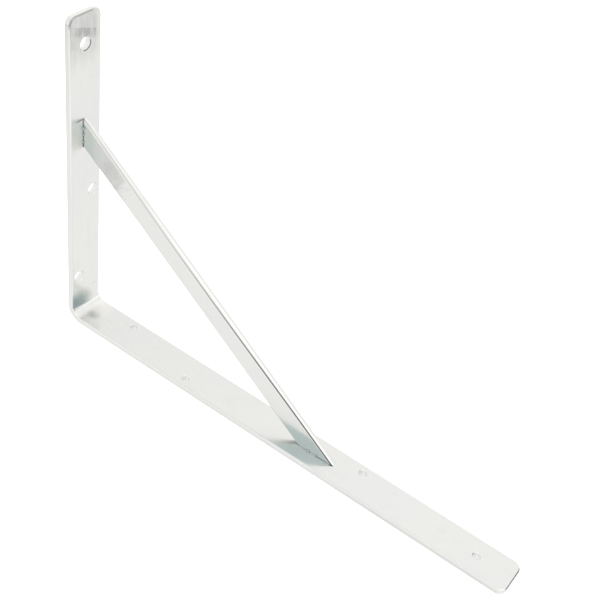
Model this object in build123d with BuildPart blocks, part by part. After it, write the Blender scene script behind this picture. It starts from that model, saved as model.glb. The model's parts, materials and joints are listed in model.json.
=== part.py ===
"""Shelf bracket: a flat steel bar folded into an L and stiffened by a flat-bar brace welded across it.

Millimetres, +Z up. The bracket stands on its long arm, whose outer face lies in Z = 0. The short arm
rises at the -X end, Y = 0 is the mid-plane, and the origin is the middle of the footprint.
"""
import os
from math import atan2, cos, degrees, hypot, radians, sin

from build123d import *

# Flat bar that is folded into the two arms, each arm measured over the outside of the bend
bar_width = 30.0
bar_thickness = 5.0
bar_edge_radius = 1.4
wall_arm = 265.0
shelf_arm = 400.0
bend_radius = 8.0
end_corner_radius = 6.5

# Flat bar of the brace, and where its upper edge meets the arms, measured from the outer corner
brace_width = 20.0
brace_thickness = 5.0
brace_edge_radius = 2.0
brace_height = 184.5
brace_reach = 252.5

# Screw holes, eased on the inside: one near each free end on the centre line, the others staggered
wall_hole = 9.5
shelf_hole = 5.5
hole_rim = 0.5
hole_stagger = 7.5
wall_end_inset = 23.0
shelf_end_inset = 29.0
wall_hole_heights = (41.0, 118.5)
shelf_hole_reaches = (49.0, 116.5, 271.5)

# Spot welds that sit in a small bevel along both sides of each brace end, as (share of the seam, radius)
weld_bevel = 0.6
weld_spots = ((0.22, 1.0), (0.47, 1.2), (0.68, 1.5))

# Faces of the arms, and the slope of the brace
corner_x = -shelf_arm / 2
wall_inside_x = corner_x + bar_thickness
brace_foot_x = corner_x + brace_reach
brace_run = brace_foot_x - wall_inside_x
brace_rise = brace_height - bar_thickness
brace_length = hypot(brace_run, brace_rise)
brace_slope = degrees(atan2(brace_rise, brace_run))

# Seams: the lengths over which the mitred brace ends lie on the arms, and their middles
wall_seam = brace_width / cos(radians(brace_slope))
shelf_seam = brace_width / sin(radians(brace_slope))
wall_inside = Plane((wall_inside_x, 0, 0), x_dir=(0, 1, 0), z_dir=(1, 0, 0))
shelf_inside = Plane((corner_x, 0, bar_thickness), x_dir=(1, 0, 0), z_dir=(0, 0, 1))
wall_seam_place = Plane((wall_inside_x, 0, brace_height - wall_seam / 2), x_dir=(0, 1, 0), z_dir=(1, 0, 0))
shelf_seam_place = Plane((brace_foot_x - shelf_seam / 2, 0, bar_thickness), x_dir=(0, 1, 0), z_dir=(0, 0, 1))

# The holes' places on the inside faces: (across, up) on the wall arm, (along, across) on the shelf arm
wall_holes = [
    (0, wall_arm - wall_end_inset),
    (hole_stagger, wall_hole_heights[1]),
    (-hole_stagger, wall_hole_heights[0]),
]
shelf_holes = [
    (shelf_hole_reaches[0], hole_stagger),
    (shelf_hole_reaches[1], -hole_stagger),
    (shelf_hole_reaches[2], hole_stagger),
    (shelf_arm - shelf_end_inset, 0),
]

# Folded bar: L-shaped section through both arms, rounded free ends, eased edges, then the holes
with BuildPart() as angle_bar:
    with BuildSketch(Plane.XZ) as section:
        with BuildLine():
            Polyline(
                (corner_x, 0),
                (corner_x + shelf_arm, 0),
                (corner_x + shelf_arm, bar_thickness),
                (wall_inside_x, bar_thickness),
                (wall_inside_x, wall_arm),
                (corner_x, wall_arm),
                close=True,
            )
        make_face()
        outer_corner = section.vertices().sort_by_distance((corner_x, 0))[0]
        fillet(outer_corner, bend_radius + bar_thickness)
        inner_corner = section.vertices().sort_by_distance((wall_inside_x, bar_thickness))[0]
        fillet(inner_corner, bend_radius)
    extrude(amount=bar_width / 2, both=True)
    wall_end = angle_bar.edges().filter_by(Axis.X).group_by(Axis.Z)[-1]
    shelf_end = angle_bar.edges().filter_by(Axis.Z).group_by(Axis.X)[-1]
    fillet(wall_end + shelf_end, end_corner_radius)
    fillet(angle_bar.edges().filter_by(Axis.X).group_by(SortBy.LENGTH)[-1], bar_edge_radius)
    with Locations(wall_inside):
        with Locations(*wall_holes):
            Hole(wall_hole / 2, depth=bar_thickness)
    chamfer(angle_bar.edges(Select.LAST).group_by(Axis.X)[-1], hole_rim)
    with Locations(shelf_inside):
        with Locations(*shelf_holes):
            Hole(shelf_hole / 2, depth=bar_thickness)
    chamfer(angle_bar.edges(Select.LAST).group_by(Axis.Z)[-1], hole_rim)
angle_bar.part.label = "angle_bar"

# Brace: a round-edged bar on edge in the mid-plane, mitred flush to both arms, bevelled along its seams
brace_top_middle = Vector((wall_inside_x + brace_foot_x) / 2, 0, (brace_height + bar_thickness) / 2)
brace_axis = Vector(brace_run, 0, -brace_rise).normalized()
brace_up = Vector(brace_rise, 0, brace_run).normalized()
brace_middle = Plane(brace_top_middle - brace_up * (brace_width / 2), x_dir=(0, 1, 0), z_dir=brace_axis)

with BuildPart() as brace:
    with BuildSketch(brace_middle):
        RectangleRounded(brace_thickness, brace_width, brace_edge_radius)
    extrude(amount=brace_length / 2 + brace_width, both=True)
    split(bisect_by=wall_inside, keep=Keep.TOP)
    split(bisect_by=shelf_inside, keep=Keep.TOP)
    for place, along, seam in ((wall_seam_place, Axis.Z, wall_seam), (shelf_seam_place, Axis.X, shelf_seam)):
        with BuildSketch(Plane(place.origin, x_dir=(0, 1, 0), z_dir=along.direction)):
            with GridLocations(brace_thickness, 0, 2, 1):
                RegularPolygon(weld_bevel, 4)
        extrude(amount=seam, both=True, mode=Mode.SUBTRACT)
brace.part.label = "brace"


def spot_welds(place, seam, label):
    """Round nuggets on both seam lines of a brace end, with all that lies inside the two bars taken away."""
    with BuildPart() as nuggets:
        with Locations(place):
            for share, radius in weld_spots:
                for side in (-1, 1):
                    with Locations((side * brace_thickness / 2, (share - 0.5) * seam)):
                        Sphere(radius)
        add(angle_bar.part, mode=Mode.SUBTRACT)
        add(brace.part, mode=Mode.SUBTRACT)
    nuggets.part.label = label
    return nuggets.part


upper_weld = spot_welds(wall_seam_place, wall_seam, "upper_weld")
lower_weld = spot_welds(shelf_seam_place, shelf_seam, "lower_weld")

os.makedirs("parts", exist_ok=True)
export_step(angle_bar.part, "parts/angle_bar.step")
export_step(brace.part, "parts/brace.step")
export_step(upper_weld, "parts/upper_weld.step")
export_step(lower_weld, "parts/lower_weld.step")
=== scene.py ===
"""Looks of the shelf bracket: bright zinc plating on the bar, the brace and the welds, in a white studio."""
import json
from math import atan2, cos, radians, sin

import bmesh
import bpy
from mathutils import Matrix, Vector


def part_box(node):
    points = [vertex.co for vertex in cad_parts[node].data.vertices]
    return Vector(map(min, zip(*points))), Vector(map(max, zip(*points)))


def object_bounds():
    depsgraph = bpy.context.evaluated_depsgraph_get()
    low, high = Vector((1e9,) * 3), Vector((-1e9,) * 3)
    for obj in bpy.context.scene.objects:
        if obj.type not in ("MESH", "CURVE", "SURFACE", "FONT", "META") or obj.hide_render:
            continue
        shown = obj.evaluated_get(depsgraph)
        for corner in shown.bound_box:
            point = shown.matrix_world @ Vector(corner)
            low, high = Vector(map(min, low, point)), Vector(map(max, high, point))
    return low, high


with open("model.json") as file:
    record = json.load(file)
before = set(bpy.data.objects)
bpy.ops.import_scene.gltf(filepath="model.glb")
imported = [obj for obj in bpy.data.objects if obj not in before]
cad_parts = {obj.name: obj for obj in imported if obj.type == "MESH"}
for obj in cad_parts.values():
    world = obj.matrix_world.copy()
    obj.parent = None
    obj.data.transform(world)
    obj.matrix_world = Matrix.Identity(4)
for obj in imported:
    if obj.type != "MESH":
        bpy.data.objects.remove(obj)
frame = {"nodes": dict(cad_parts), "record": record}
cad_box = [list(corner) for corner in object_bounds()]

# Camera fitted to the photograph's outlines: place in metres, angles in degrees, lens for a 36 mm sensor
CAMERA_PLACE = (0.2603, -0.4713, 0.6093)
CAMERA_AZIMUTH = 28.973
CAMERA_ELEVATION = 41.403
CAMERA_ROLL = 10.033
CAMERA_LENS = 64.73
SENSOR_WIDTH = 36.0
NEAREST_SEEN = 0.01

# Studio: white floor and backdrop, where 1 is the picture's white
FLOOR_SIZE = 6.0
FLOOR_HEIGHT = -0.0002
FLOOR_COLOR = (0.80, 0.80, 0.798)
FLOOR_ROUGHNESS = 0.9
FLOOR_LIGHT = (1.0, 1.0, 0.99)
FLOOR_GLOW = 0.55
BACKDROP = (1.20, 1.20, 1.19)

# Painted shadow on the floor under the shelf arm: a lower glow there, which sets in a little inside the
# arm's ends and sides
COVERED_GLOW = 0.25
COVERED_FROM_ENDS = (0.004, 0.008)
COVERED_FROM_SIDES = (0.002, 0.004)

# Light tent that only reflections see: plain walls, and soft round zones given as
# (azimuth, elevation, inner angle, outer angle, colour), each laid over those before it
TENT_RADIUS = 2.0
TENT_SEGMENTS = 48
TENT_RINGS = 24
TENT_PLAIN = (1.01, 1.01, 1.00)
TENT_ZONES = (
    (18, 44, 16, 50, (1.07, 1.07, 1.065)),
    (-153, 51, 9, 20, (0.655, 0.79, 0.815)),
    (98, 0, 8, 20, (0.20, 0.21, 0.22)),
    (128, 11, 9, 22, (0.72, 0.73, 0.735)),
    (104, 40, 12, 28, (1.45, 1.45, 1.45)),
    (78, 57, 8, 20, (1.30, 1.30, 1.30)),
    (55, 17, 4, 12, (1.35, 1.35, 1.35)),
)

# The tent's floor, painted light that only reflections see: bright around its middle, then soft spots given
# as (centre and half sizes, colour)
TENT_FLOOR_HEIGHT = -0.0001
TENT_FLOOR_NEAR = (1.025, 1.025, 1.02)
TENT_FLOOR_FAR = (0.78, 0.785, 0.79)
TENT_FLOOR_MIDDLE = ((0.05, 0.0, 0.0), (1.0, 1.7, 1.0))
TENT_FLOOR_FADE = (0.36, 0.95)
# The spots: a painted pool of light in front of the part, painted shadow under the shelf arm, and a darker
# painted shadow beside its free end
FLOOR_SPOTS = (
    (((0.02, -0.20, 0.0), (0.13, 0.13, 1.0)), (1.25, 1.25, 1.24)),
    (((0.0, 0.0, 0.0), (0.30, 0.034, 1.0)), (0.97, 0.97, 0.965)),
    (((0.226, 0.022, 0.0), (0.027, 0.030, 1.0)), (0.26, 0.26, 0.265)),
)
FLOOR_SPOT_FADE = (0.5, 1.0)

# Dark card that faces the free end of the shelf arm, also only in reflections
CARD_CENTRE = (0.390, 0.150, 0.085)
CARD_WIDTH = 0.24
CARD_HEIGHT = 0.17
CARD_COLOR = (0.16, 0.16, 0.165)

# Places on the part in metres: the arms' inside faces and ends, and the brace's ends and upper edge
brace_low, brace_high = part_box("brace")
SHELF_END, BAR_SIDE, WALL_END = cad_box[1]
WALL_INSIDE = brace_low.x
SHELF_INSIDE = brace_low.z
BRACE_TOP = brace_high.z
BRACE_FOOT = brace_high.x
BRACE_WIDTH = 0.020
BRACE_SLOPE = atan2(BRACE_TOP - SHELF_INSIDE, BRACE_FOOT - WALL_INSIDE)
BRACE_UP = (sin(BRACE_SLOPE), 0.0, cos(BRACE_SLOPE))
BRACE_LINE = Vector(BRACE_UP).dot((WALL_INSIDE, 0.0, BRACE_TOP))
BRACE_HEEL = BRACE_FOOT - BRACE_WIDTH / sin(BRACE_SLOPE)

# Screw holes, how far their eased rims reach beyond the bore, and the shares of their films, which for
# the rims go from the lower wall holes to the top one by the distance below the wall arm's end
HOLES = [mount for mount in frame["record"]["mounts"] if mount["kind"] == "bore"]
HOLE_RIM = 0.00065
HOLE_EDGE = (0.97, 1.0)
# Shares: painted highlight inside the bores, and painted shade on the top hole's lower lip
BORE_SHARE = 0.9
TOP_HOLE_FADE = (0.06, 0.04)
RIM_SHARES = (0.17, 0.38)
LIP_SHARE = 0.85
LIP_SIDE = (0.0, -1.0, 1.0)

# Zinc plating: bright faces, dull films on the brace, dirt in the seams, and colours for the painted shade,
# painted dark reflections and painted highlights in corners, on edges, in the holes and beside the welds
ZINC_WARM = (0.800, 0.798, 0.772)
ZINC_COOL = (0.788, 0.796, 0.782)
ZINC_DULL = (0.690, 0.700, 0.690)
ZINC_GREY = (0.440, 0.440, 0.435)
# Painted shade in the bend, at its foot and on the welds
ZINC_SHADED = (0.365, 0.445, 0.452)
ZINC_GREEN = (0.300, 0.500, 0.475)
# Dirt in the seams and on the welds, and the same dark for painted shade beside the upper weld and on the
# top hole's lip
SEAM_DIRT_AND_SHADE = (0.120, 0.130, 0.130)
# Painted dark reflection on the brace's near upper edge
EDGE_DARK = (0.110, 0.122, 0.126)
# Painted shade under the brace's heel
HEEL_DARK = (0.090, 0.140, 0.150)
# Tint of the painted highlight inside the bores
BORE_HIGHLIGHT = (0.920, 0.920, 0.910)
# Tint of the painted highlights
HIGHLIGHT_TINT = (0.930, 0.900, 0.870)

# Fineness of the plating's patterns, how far they are drawn out by axis, and roughness and relief
HUE_SCALE = 17.0
CLOUD_SCALE = 60.0
PATCH_SCALE = 160.0
BRACE_MOTTLE_SCALE = 200.0
BAR_MOTTLE_SCALE = 230.0
STREAK_SCALE = 900.0
WELD_GRAIN_SCALE = 1500.0
GRAIN_SCALE = 1800.0
BAR_STREAKS = (0.06, 1.0, 0.06)
BAR_MOTTLE = (1.0, 1.0, 0.35)
BRACE_STREAKS = (0.05, 1.0, 1.0)
BRACE_MOTTLE = (0.3, 1.0, 1.0)
BRIGHT_ROUGHNESS = 0.15
CLOUD_ROUGHNESS = 0.10
FILM_ROUGHNESS = 0.16
HAZE_ROUGHNESS = 0.25
RELIEF_STRENGTH = 0.15
RELIEF_DEPTH = 0.00005
STREAK_RELIEF = 0.5

# Shares of duller zinc in the clouds and in the streaks
CLOUD_SHARE = 0.30
STREAK_SHARE = 0.22

# Soft spots on the folded bar, as (centre, half sizes), and the shares of their films: painted shade in the
# bend, at its foot and in a streak beside the upper weld, a painted highlight beside that weld, haze that
# only adds roughness, and a scuff
BEND_PATCH = ((WALL_INSIDE, -0.0108, 0.0085), (0.010, 0.0185, 0.0160))
FOOT_SPOT = ((WALL_INSIDE + 0.0118, -0.0036, SHELF_INSIDE), (0.0070, 0.0052, 0.003))
FOOT_HAZE = ((WALL_INSIDE + 0.008, -0.007, SHELF_INSIDE), (0.018, 0.022, 0.006))
SCUFF = ((WALL_INSIDE, 0.0092, 0.0245), (0.002, 0.0050, 0.0010))
WELD_HAZE = ((WALL_INSIDE, -0.010, BRACE_TOP - 0.015), (0.006, 0.014, 0.022))
WELD_STREAK = ((WALL_INSIDE, -0.0066, BRACE_TOP - 0.0004), (0.002, 0.0052, 0.0015))
FOOT_SHARE = 0.5
SCUFF_SHARE = 0.25
WELD_HAZE_SHARE = 0.5
WELD_HIGHLIGHT_SHARE = 0.85
WELD_STREAK_SHARE = 0.5

# Bend patch of painted shade: heights between which it sets in, its lean across the bar, and the reach of
# its streaks
BEND_RISE = (0.0088, 0.0100)
BEND_LEAN = 0.10
BEND_DRAWN = 0.009

# Painted highlight on a strip past the bend, by the distance from the wall arm
PAST_BEND_FADE = (0.024, 0.008)
PAST_BEND_SHARE = 0.7

# Edges and near side of the folded bar, painted shade on the outer edges and near side and a painted
# highlight on the inner edges: shares of their films, by place along the bar or by mottle
OUTER_EDGE_SHARES = (0.35, 0.60)
NEAR_SIDE_RISE = (0.05, 0.11)
NEAR_SIDE_SHARE = 0.14
INNER_EDGE_FADE = (0.015, 0.050)
INNER_EDGE_SHARES = (0.60, 0.10)

# Painted dark reflection at the wall arm's end: fades by the distance below it, then by the place across the
# bar, and the films' shares
END_GREY_FADE = (0.046, 0.018)
END_GREY_SHARE = 0.42
END_BAND_BOTTOM = (0.0200, 0.0155)
END_BAND_TOP = (0.0105, 0.0120)
END_BAND_LEAN = 0.35
END_BAND_SHARE = 0.58
END_LINE_FADE = (0.0095, 0.0050)
END_LINE_ACROSS = (0.0100, 0.0050)
END_LINE_SHARES = (0.25, 1.0)
END_MARGIN_ACROSS = (0.0095, 0.0115)
END_MARGIN_SHARES = (1.0, 0.45)

# Brace: fades by the distance from the wall arm, shares of the films, and raggedness of the dull zone
BRACE_GREY_FADE = (0.060, 0.046)
BRACE_GREY_RISE = (0.008, 0.024)
BRACE_GREY_SHARES = (0.34, 0.54)
BRACE_GREEN_FADE = (0.034, 0.020)
BRACE_GREEN_SHARE = 0.26
# Rise of the painted highlight on the brace's near upper edge
BRACE_HIGHLIGHT_RISE = (0.05, 0.10)
BRACE_FAR_RISE = (0.10, 0.22)
BRACE_FAR_SHARES = (0.05, 0.15)
BRACE_RAGGED = 0.030

# Painted dark reflection: a line on the brace's near upper edge. Places round the edge are measured as the
# distance below the upper face, times the slant, plus the distance from the mid-plane. Places along the edge
# are measured from the wall arm: the line moves out, stays, moves back, and grows darker on the way to the
# foot
EDGE_SLANT = 0.77
EDGE_FACE = (0.0041, 0.0047)
EDGE_LINE_HALF_WIDTH = (0.0008, 0.0003)
EDGE_LINE_WALL_END = 0.0022
EDGE_LINE_MIDDLE = 0.0040
EDGE_LINE_FOOT = 0.0030
EDGE_LINE_OUT = (0.0, 0.085)
EDGE_LINE_BACK = (0.12, 0.23)
EDGE_LINE_RISE = (0.04, 0.20)
EDGE_LINE_SHARES = (0.16, 1.0)
EDGE_LINE_START = (0.012, 0.004)
EDGE_LINE_START_SHARE = 0.30

# Depth and shares of the dirt in the brace's seams, and the reach of the painted shade before and past its
# heel
SEAM_FADE = (0.0010, 0.0005)
UPPER_SEAM_SHARES = (0.80, 0.50)
LOWER_SEAM_SHARES = (0.10, 0.50)
HEEL_REACH = 0.024
HEEL_STOP = 0.002
HEEL_SHARE = 0.52

# Welds: shares of their painted shade and of the dirt on them
WELD_SHADE_SHARES = (0.7, 1.0)
WELD_DIRT_SHARES = (0.096, 0.144)


def direction(azimuth, elevation):
    """Unit vector towards a compass direction, where azimuth 0 is +Y and 90 is +X."""
    flat = cos(radians(elevation))
    return Vector((sin(radians(azimuth)) * flat, cos(radians(azimuth)) * flat, sin(radians(elevation))))


def rgba(color):
    return (*color, 1.0)


def make_camera():
    azimuth = radians(CAMERA_AZIMUTH)
    elevation = radians(CAMERA_ELEVATION)
    roll = radians(CAMERA_ROLL)
    back = Vector((sin(azimuth) * cos(elevation), -cos(azimuth) * cos(elevation), sin(elevation)))
    level = Vector((cos(azimuth), sin(azimuth), 0))
    upright = back.cross(level)
    right = cos(roll) * level + sin(roll) * upright
    up = back.cross(right)
    turn = Matrix((right, up, back)).transposed().to_4x4()
    data = bpy.data.cameras.new("camera")
    data.sensor_width = SENSOR_WIDTH
    data.lens = CAMERA_LENS
    data.clip_start = NEAREST_SEEN
    camera = bpy.data.objects.new("camera", data)
    camera.matrix_world = Matrix.Translation(CAMERA_PLACE) @ turn
    bpy.context.collection.objects.link(camera)
    bpy.context.scene.camera = camera


class Nodes:
    """Short way to add and wire the nodes of a material or world."""

    def __init__(self, owner):
        owner.use_nodes = True
        self.tree = owner.node_tree
        self.tree.nodes.clear()

    def add(self, kind, inputs=None, **settings):
        node = self.tree.nodes.new(kind)
        for name, value in settings.items():
            setattr(node, name, value)
        for name, value in (inputs or {}).items():
            self.feed(node.inputs[name], value)
        return node

    def feed(self, socket, value):
        if isinstance(value, bpy.types.NodeSocket):
            self.tree.links.new(value, socket)
        else:
            socket.default_value = value

    def math(self, operation, first, second=0.0, third=0.0):
        return self.add("ShaderNodeMath", {0: first, 1: second, 2: third}, operation=operation).outputs[0]

    def vector_math(self, operation, first, second=(0.0, 0.0, 0.0)):
        return self.add("ShaderNodeVectorMath", {0: first, 1: second}, operation=operation).outputs

    def product(self, first, *others):
        for other in others:
            first = self.math("MULTIPLY", first, other)
        return first

    def largest(self, first, *others):
        for other in others:
            first = self.math("MAXIMUM", first, other)
        return first

    def ramp(self, value, low, high, out_low=0.0, out_high=1.0):
        """Smooth step from one level to another as the value goes from low to high."""
        node = self.add("ShaderNodeMapRange", interpolation_type="SMOOTHSTEP")
        for socket, given in zip(node.inputs, (value, low, high, out_low, out_high)):
            self.feed(socket, given)
        return node.outputs[0]

    def mix(self, share, first, second):
        """Blend of two colours, by the colour sockets of the mix node."""
        return self.add("ShaderNodeMix", {0: share, 6: first, 7: second}, data_type="RGBA").outputs[2]

    def place(self):
        """Place on the part, in the part's own frame."""
        return self.add("ShaderNodeTexCoord").outputs["Object"]

    def normal(self):
        return self.add("ShaderNodeNewGeometry").outputs["Normal"]

    def split(self, vector):
        return self.add("ShaderNodeSeparateXYZ", {0: vector}).outputs

    def dot(self, first, second):
        return self.vector_math("DOT_PRODUCT", first, second)["Value"]

    def stretched(self, vector, shares, turn=0.0):
        """Coordinates turned about Y and scaled by axis, which draw noise out into streaks."""
        inputs = {"Vector": vector, "Angle": turn}
        turned = self.add("ShaderNodeVectorRotate", inputs, rotation_type="Y_AXIS").outputs[0]
        return self.vector_math("MULTIPLY", turned, shares)[0]

    def spot(self, vector, where, inner=0.0, outer=1.0):
        """1 inside an ellipsoid given as (centre, half sizes), fading to 0 outside it."""
        centre, sizes = where
        offset = self.vector_math("SUBTRACT", vector, centre)[0]
        scaled = self.vector_math("DIVIDE", offset, sizes)[0]
        away = self.vector_math("LENGTH", scaled)["Value"]
        return self.ramp(away, outer, inner)

    def noise(self, vector, scale, detail=3.0, roughness=0.6):
        inputs = {"Vector": vector, "Scale": scale, "Detail": detail, "Roughness": roughness}
        return self.add("ShaderNodeTexNoise", inputs).outputs[0]


def make_world():
    world = bpy.data.worlds.new("studio")
    bpy.context.scene.world = world
    nodes = Nodes(world)
    glow = nodes.add("ShaderNodeBackground", {"Color": rgba(BACKDROP), "Strength": 1.0})
    nodes.add("ShaderNodeOutputWorld", {"Surface": glow.outputs[0]})


def sheet(name, corners):
    """Flat four-sided piece of the studio."""
    mesh = bpy.data.meshes.new(name)
    mesh.from_pydata(corners, [], [(0, 1, 2, 3)])
    piece = bpy.data.objects.new(name, mesh)
    bpy.context.collection.objects.link(piece)
    return piece


def ground(name, height):
    half = FLOOR_SIZE / 2
    return sheet(name, [(x * half, y * half, height) for x, y in ((-1, -1), (1, -1), (1, 1), (-1, 1))])


def only_reflected(piece):
    piece.visible_camera = False
    piece.visible_diffuse = False
    piece.visible_shadow = False


def glowing(name):
    """Material that gives light, with its nodes and the socket of its colour."""
    material = bpy.data.materials.new(name)
    nodes = Nodes(material)
    glow = nodes.add("ShaderNodeEmission", {"Strength": 1.0})
    nodes.add("ShaderNodeOutputMaterial", {"Surface": glow.outputs[0]})
    return material, nodes, glow.inputs["Color"]


def make_tent():
    """Dome of soft light and dark that shows in the metal but not in the picture."""
    mesh = bpy.data.meshes.new("tent")
    ball = bmesh.new()
    bmesh.ops.create_uvsphere(ball, u_segments=TENT_SEGMENTS, v_segments=TENT_RINGS, radius=TENT_RADIUS)
    ball.to_mesh(mesh)
    ball.free()
    tent = bpy.data.objects.new("tent", mesh)
    bpy.context.collection.objects.link(tent)
    material, nodes, light = glowing("tent_light")
    outward = nodes.vector_math("NORMALIZE", nodes.place())[0]
    color = rgba(TENT_PLAIN)
    for azimuth, elevation, inner, outer, zone_color in TENT_ZONES:
        toward = nodes.dot(outward, direction(azimuth, elevation))
        share = nodes.ramp(toward, cos(radians(outer)), cos(radians(inner)))
        color = nodes.mix(share, color, rgba(zone_color))
    nodes.feed(light, color)
    mesh.materials.append(material)
    only_reflected(tent)


def make_tent_floor():
    """Glowing floor that shows in the metal instead of the white paper, with a painted pool of light and
    painted shadows.
    """
    floor = ground("tent_floor", TENT_FLOOR_HEIGHT)
    material, nodes, light = glowing("tent_floor_light")
    place = nodes.place()
    near = nodes.spot(place, TENT_FLOOR_MIDDLE, *TENT_FLOOR_FADE)
    color = nodes.mix(near, rgba(TENT_FLOOR_FAR), rgba(TENT_FLOOR_NEAR))
    for where, spot_color in FLOOR_SPOTS:
        color = nodes.mix(nodes.spot(place, where, *FLOOR_SPOT_FADE), color, rgba(spot_color))
    nodes.feed(light, color)
    floor.data.materials.append(material)
    only_reflected(floor)


def make_card():
    middle = Vector(CARD_CENTRE)
    outward = middle - Vector((SHELF_END, 0, 0))
    side = Vector((outward.y, -outward.x, 0)).normalized() * (CARD_WIDTH / 2)
    rise = Vector((0, 0, CARD_HEIGHT / 2))
    corners = [middle - side - rise, middle + side - rise, middle + side + rise, middle - side + rise]
    card = sheet("card_0", corners)
    material, nodes, light = glowing("card_light")
    nodes.feed(light, rgba(CARD_COLOR))
    card.data.materials.append(material)
    only_reflected(card)


def make_floor():
    """White paper, with a painted shadow where the shelf arm covers it: its glow is lower there."""
    floor = ground("floor", FLOOR_HEIGHT)
    floor.visible_glossy = False
    material = bpy.data.materials.new("floor_paper")
    nodes = Nodes(material)
    x, y, _ = nodes.split(nodes.place())
    from_ends = nodes.math("SUBTRACT", SHELF_END, nodes.math("ABSOLUTE", x))
    from_sides = nodes.math("SUBTRACT", BAR_SIDE, nodes.math("ABSOLUTE", y))
    painted_shadow = nodes.product(
        nodes.ramp(from_ends, *COVERED_FROM_ENDS),
        nodes.ramp(from_sides, *COVERED_FROM_SIDES),
    )
    glow = nodes.math("MULTIPLY_ADD", painted_shadow, COVERED_GLOW - FLOOR_GLOW, FLOOR_GLOW)
    inputs = {"Base Color": rgba(FLOOR_COLOR), "Roughness": FLOOR_ROUGHNESS}
    inputs.update({"Emission Color": rgba(FLOOR_LIGHT), "Emission Strength": glow})
    paper = nodes.add("ShaderNodeBsdfPrincipled", inputs)
    nodes.add("ShaderNodeOutputMaterial", {"Surface": paper.outputs[0]})
    floor.data.materials.append(material)


def plated_steel(nodes, streaks, films, haze=0.0):
    """Bright zinc with clouds, streaks and fine grain, under films given as (share, colour).

    Films are rougher than the bright plating. Haze is a share of roughness alone.
    """
    place = nodes.place()
    clouds = nodes.noise(place, CLOUD_SCALE, 4.0, 0.6)
    hue = nodes.noise(place, HUE_SCALE, 2.0, 0.5)
    grain = nodes.noise(place, GRAIN_SCALE, 2.0, 0.5)
    color = nodes.mix(nodes.ramp(hue, 0.35, 0.65), rgba(ZINC_WARM), rgba(ZINC_COOL))
    color = nodes.mix(nodes.ramp(clouds, 0.52, 0.8, 0.0, CLOUD_SHARE), color, rgba(ZINC_DULL))
    color = nodes.mix(nodes.ramp(streaks, 0.50, 0.75, 0.0, STREAK_SHARE), color, rgba(ZINC_DULL))
    rough = nodes.math("MULTIPLY_ADD", clouds, CLOUD_ROUGHNESS, BRIGHT_ROUGHNESS)
    rough = nodes.math("MULTIPLY_ADD", haze, HAZE_ROUGHNESS, rough)
    for share, film_color in films:
        color = nodes.mix(share, color, rgba(film_color))
        rough = nodes.math("MULTIPLY_ADD", share, FILM_ROUGHNESS, rough)
    relief = nodes.math("MULTIPLY_ADD", streaks, STREAK_RELIEF, grain)
    bump_inputs = {"Strength": RELIEF_STRENGTH, "Distance": RELIEF_DEPTH, "Height": relief}
    bump = nodes.add("ShaderNodeBump", bump_inputs).outputs[0]
    metal_inputs = {"Base Color": color, "Metallic": 1.0, "Roughness": rough, "Normal": bump}
    metal = nodes.add("ShaderNodeBsdfPrincipled", metal_inputs)
    nodes.add("ShaderNodeOutputMaterial", {"Surface": metal.outputs[0]})


def bend_shade(nodes, place, facing, streaks):
    """Painted shade on the wall arm's near half, just above the bend, drawn out upward in streaks."""
    x, y, z = nodes.split(place)
    drawn_z = nodes.math("MULTIPLY_ADD", streaks, -BEND_DRAWN, z)
    drawn = nodes.add("ShaderNodeCombineXYZ", {0: x, 1: y, 2: drawn_z}).outputs[0]
    leaning_z = nodes.math("MULTIPLY_ADD", y, BEND_LEAN, z)
    return nodes.product(
        nodes.spot(drawn, BEND_PATCH, 0.30, 1.1),
        nodes.ramp(facing[0], 0.66, 0.80),
        nodes.ramp(leaning_z, *BEND_RISE),
    )


def end_reflections(nodes, place, facing, streaks):
    """Painted dark reflection at the wall arm's end: grey with a band above the top hole, and a dark line on
    its rolled edge.
    """
    _, y, z = nodes.split(place)
    below = nodes.math("SUBTRACT", WALL_END, z)
    leaning = nodes.math("MULTIPLY_ADD", y, -END_BAND_LEAN, below)
    band = nodes.product(
        nodes.ramp(leaning, *END_BAND_BOTTOM),
        nodes.ramp(leaning, *END_BAND_TOP),
        nodes.ramp(streaks, 0.35, 0.60),
        END_BAND_SHARE,
    )
    face = nodes.product(
        nodes.math("ADD", band, nodes.ramp(below, *END_GREY_FADE, 0.0, END_GREY_SHARE)),
        nodes.ramp(facing[0], 0.80, 0.98),
        nodes.ramp(y, *END_MARGIN_ACROSS, *END_MARGIN_SHARES),
    )
    line = nodes.product(
        nodes.ramp(facing[0], 0.25, 0.50),
        nodes.ramp(facing[0], 0.999, 0.94),
        nodes.ramp(below, *END_LINE_FADE),
        nodes.ramp(y, *END_LINE_ACROSS, *END_LINE_SHARES),
    )
    return face, line


def edge_films(nodes, place, facing, mottle):
    """Painted shade on the outer edges and near side of the folded bar, and a painted highlight on its inner
    edges.
    """
    x, _, z = nodes.split(place)
    rounded = nodes.ramp(nodes.math("ABSOLUTE", facing[1]), 0.20, 0.45)
    outward = nodes.math("MINIMUM", facing[0], facing[2])
    outer_edge = nodes.product(
        nodes.ramp(outward, -0.05, -0.25),
        nodes.ramp(mottle, 0.30, 0.60, *OUTER_EDGE_SHARES),
        rounded,
    )
    near_side = nodes.product(
        nodes.ramp(facing[1], -0.90, -0.98),
        nodes.ramp(x, *NEAR_SIDE_RISE, 0.0, NEAR_SIDE_SHARE),
    )
    inward = nodes.math("MAXIMUM", facing[0], facing[2])
    inner_edge = nodes.product(
        nodes.ramp(inward, 0.15, 0.35),
        nodes.ramp(z, *INNER_EDGE_FADE, *INNER_EDGE_SHARES),
        rounded,
    )
    return nodes.largest(outer_edge, near_side), inner_edge


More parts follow.
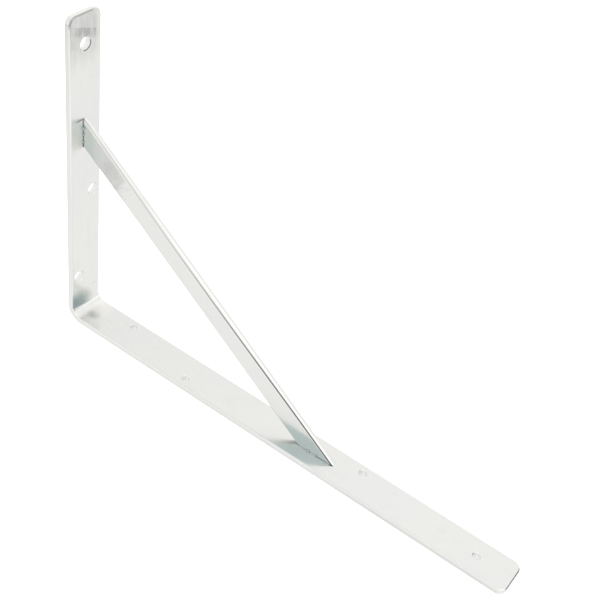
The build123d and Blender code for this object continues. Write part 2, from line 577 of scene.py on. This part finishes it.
def hole_films(nodes, place, normal):
    """Painted highlight inside the screw holes, dull rims on the wall arm's, and painted shade on the lower
    lip of the top one.
    """
    bores = 0.0
    for hole in HOLES:
        radius = hole["dims"]["r_mm"] / 1000 + HOLE_RIM
        sizes = [1.0 if along else radius for along in hole["axis"]]
        bores = nodes.largest(bores, nodes.spot(place, (hole["pos_m"], sizes), *HOLE_EDGE))
    lit_bore = nodes.product(bores, BORE_SHARE)
    below = nodes.math("SUBTRACT", WALL_END, nodes.split(place)[2])
    top = nodes.ramp(below, *TOP_HOLE_FADE)
    eased = nodes.product(bores, nodes.ramp(nodes.split(normal)[0], 0.3, 0.5))
    rim = nodes.product(eased, nodes.ramp(top, 0.0, 1.0, *RIM_SHARES))
    lower = nodes.ramp(nodes.dot(normal, LIP_SIDE), 0.30, 0.60)
    lip = nodes.product(eased, top, lower, LIP_SHARE)
    return lit_bore, rim, lip


def bar_material():
    """Plating of the folded bar, with painted shade in the bend and along the outer edges, a painted dark
    reflection at the wall arm's end, and painted highlights.
    """
    material = bpy.data.materials.new("bar_zinc")
    nodes = Nodes(material)
    place = nodes.place()
    normal = nodes.normal()
    facing = nodes.split(normal)
    from_wall = nodes.math("SUBTRACT", nodes.split(place)[0], WALL_INSIDE)
    streaks = nodes.noise(nodes.stretched(place, BAR_STREAKS), STREAK_SCALE)
    mottle = nodes.noise(nodes.stretched(place, BAR_MOTTLE), BAR_MOTTLE_SCALE)
    uneven = nodes.ramp(mottle, 0.25, 0.65, 0.55, 1.15)

    # Painted shade at the foot of the bend and in the bend
    foot = nodes.product(nodes.spot(place, FOOT_SPOT, 0.0, 1.2), uneven, FOOT_SHARE)
    shaded = nodes.largest(foot, bend_shade(nodes, place, facing, streaks))

    # Grey film: painted dark reflection at the wall arm's end, painted shade on the outer edges and near
    # side, and a scuff
    end_face, end_line = end_reflections(nodes, place, facing, streaks)
    edge_shade, bright_edge = edge_films(nodes, place, facing, mottle)
    scuff = nodes.product(nodes.spot(place, SCUFF), SCUFF_SHARE)
    grey = nodes.largest(nodes.product(end_face, uneven), end_line, edge_shade, scuff)

    # Painted highlights on the inner edges, on a strip past the bend and on the wall beside the upper weld
    past_bend = nodes.product(
        nodes.ramp(from_wall, *PAST_BEND_FADE, 0.0, PAST_BEND_SHARE),
        nodes.ramp(facing[2], 0.80, 0.95),
    )
    weld_haze = nodes.spot(place, WELD_HAZE)
    beside_weld = nodes.product(weld_haze, nodes.ramp(facing[0], 0.80, 0.95), WELD_HIGHLIGHT_SHARE)
    painted_highlight = nodes.largest(bright_edge, past_bend, beside_weld)
    haze = nodes.largest(nodes.product(weld_haze, WELD_HAZE_SHARE), nodes.spot(place, FOOT_HAZE))

    lit_bore, rim, lip = hole_films(nodes, place, normal)
    # Painted shade: a dark streak on the wall beside the upper weld
    weld_streak = nodes.product(nodes.spot(place, WELD_STREAK, 0.2, 1.0), WELD_STREAK_SHARE)
    films = (
        (painted_highlight, HIGHLIGHT_TINT),
        (shaded, ZINC_SHADED),
        (grey, ZINC_GREY),
        (lit_bore, BORE_HIGHLIGHT),
        (rim, ZINC_GREY),
        (nodes.largest(lip, weld_streak), SEAM_DIRT_AND_SHADE),
    )
    plated_steel(nodes, streaks, films, haze)
    return material


def edge_line(nodes, from_wall, slant, across):
    """Painted dark reflection: a line that wanders over the brace's near upper edge and is darkest towards
    its foot.
    """
    centre = nodes.math(
        "MINIMUM",
        nodes.ramp(from_wall, *EDGE_LINE_OUT, EDGE_LINE_WALL_END, EDGE_LINE_MIDDLE),
        nodes.ramp(from_wall, *EDGE_LINE_BACK, EDGE_LINE_MIDDLE, EDGE_LINE_FOOT),
    )
    beside = nodes.math("ABSOLUTE", nodes.math("SUBTRACT", slant, centre))
    strength = nodes.largest(
        nodes.ramp(from_wall, *EDGE_LINE_RISE, *EDGE_LINE_SHARES),
        nodes.ramp(from_wall, *EDGE_LINE_START, 0.0, EDGE_LINE_START_SHARE),
    )
    return nodes.product(
        nodes.ramp(beside, *EDGE_LINE_HALF_WIDTH),
        nodes.ramp(across, -0.3, -0.45),
        strength,
    )


def seam_film(nodes, place, from_wall, sides):
    """Patchy dirt in the bevels along both seams of the brace."""
    above_shelf = nodes.math("SUBTRACT", nodes.split(place)[2], SHELF_INSIDE)
    patchy = nodes.noise(place, PATCH_SCALE, 1.0, 0.5)
    upper_seam = nodes.product(
        nodes.ramp(from_wall, *SEAM_FADE),
        nodes.ramp(patchy, 0.35, 0.60, *UPPER_SEAM_SHARES),
        nodes.ramp(sides, 0.35, 0.70),
    )
    lower_seam = nodes.product(
        nodes.ramp(above_shelf, *SEAM_FADE),
        nodes.ramp(patchy, 0.40, 0.55, *LOWER_SEAM_SHARES),
        nodes.ramp(sides, 0.35, 0.55),
    )
    return nodes.largest(upper_seam, lower_seam)


def brace_material():
    """Plating of the brace: dull at its upper end, a painted highlight and a painted dark reflection on its
    near upper edge, painted shade under the heel, dirty in the seams.
    """
    material = bpy.data.materials.new("brace_zinc")
    nodes = Nodes(material)
    place = nodes.place()
    x, y, _ = nodes.split(place)
    normal = nodes.normal()
    across = nodes.split(normal)[1]
    sides = nodes.math("ABSOLUTE", across)
    upward = nodes.dot(normal, BRACE_UP)
    from_wall = nodes.math("SUBTRACT", x, WALL_INSIDE)
    before_heel = nodes.math("SUBTRACT", BRACE_HEEL, x)
    down = nodes.math("SUBTRACT", BRACE_LINE, nodes.dot(place, BRACE_UP))
    slant = nodes.math("MULTIPLY_ADD", down, EDGE_SLANT, nodes.math("ABSOLUTE", y))
    streaks = nodes.noise(nodes.stretched(place, BRACE_STREAKS, BRACE_SLOPE), STREAK_SCALE)
    mottle = nodes.noise(nodes.stretched(place, BRACE_MOTTLE, BRACE_SLOPE), BRACE_MOTTLE_SCALE)

    ragged = nodes.math("MULTIPLY_ADD", mottle, BRACE_RAGGED, from_wall)
    flat = nodes.product(nodes.ramp(sides, 0.96, 0.995), nodes.ramp(slant, *EDGE_FACE))
    grey = nodes.product(
        nodes.ramp(ragged, *BRACE_GREY_FADE),
        nodes.ramp(from_wall, *BRACE_GREY_RISE, *BRACE_GREY_SHARES),
        nodes.ramp(mottle, 0.25, 0.65, 0.7, 1.1),
        flat,
    )
    green = nodes.product(nodes.ramp(ragged, *BRACE_GREEN_FADE, 0.0, BRACE_GREEN_SHARE), flat)

    upper_half = nodes.ramp(upward, 0.30, 0.50)
    # Painted highlight on the brace's near upper edge, away from the wall arm
    edge_highlight = nodes.product(
        upper_half,
        nodes.ramp(across, -0.15, -0.35),
        nodes.ramp(from_wall, *BRACE_HIGHLIGHT_RISE),
    )
    far_edge = nodes.product(
        upper_half,
        nodes.ramp(upward, 0.95, 0.85),
        nodes.ramp(across, 0.25, 0.40),
        nodes.ramp(from_wall, *BRACE_FAR_RISE, *BRACE_FAR_SHARES),
    )
    # Painted shade under the brace near its heel
    heel_shade = nodes.product(
        nodes.ramp(upward, -0.2, -0.6),
        nodes.ramp(before_heel, HEEL_REACH, 0.0, 0.0, HEEL_SHARE),
        nodes.ramp(before_heel, -HEEL_STOP, 0.0),
    )
    films = (
        (edge_highlight, HIGHLIGHT_TINT),
        (nodes.largest(grey, far_edge), ZINC_GREY),
        (green, ZINC_GREEN),
        (edge_line(nodes, from_wall, slant, across), EDGE_DARK),
        (heel_shade, HEEL_DARK),
        (seam_film(nodes, place, from_wall, sides), SEAM_DIRT_AND_SHADE),
    )
    plated_steel(nodes, streaks, films)
    return material


def weld_material(name):
    """Plated weld metal, rougher than the bars and darkened with painted shade, with a little dirt."""
    material = bpy.data.materials.new(name)
    nodes = Nodes(material)
    grain = nodes.noise(nodes.place(), WELD_GRAIN_SCALE)
    weld_shade = nodes.ramp(grain, 0.35, 0.75, *WELD_SHADE_SHARES)
    dirt = nodes.ramp(grain, 0.30, 0.70, *WELD_DIRT_SHARES)
    plated_steel(nodes, grain, ((weld_shade, ZINC_SHADED), (dirt, SEAM_DIRT_AND_SHADE)))
    return material


def dress(node, material):
    frame["nodes"][node].material_slots[0].material = material


make_camera()
make_world()
make_tent()
make_tent_floor()
make_card()
make_floor()
dress("angle_bar", bar_material())
dress("brace", brace_material())
dress("upper_weld", weld_material("upper_weld_zinc"))
dress("lower_weld", weld_material("lower_weld_zinc"))
bpy.context.scene.view_settings.view_transform = "Standard"
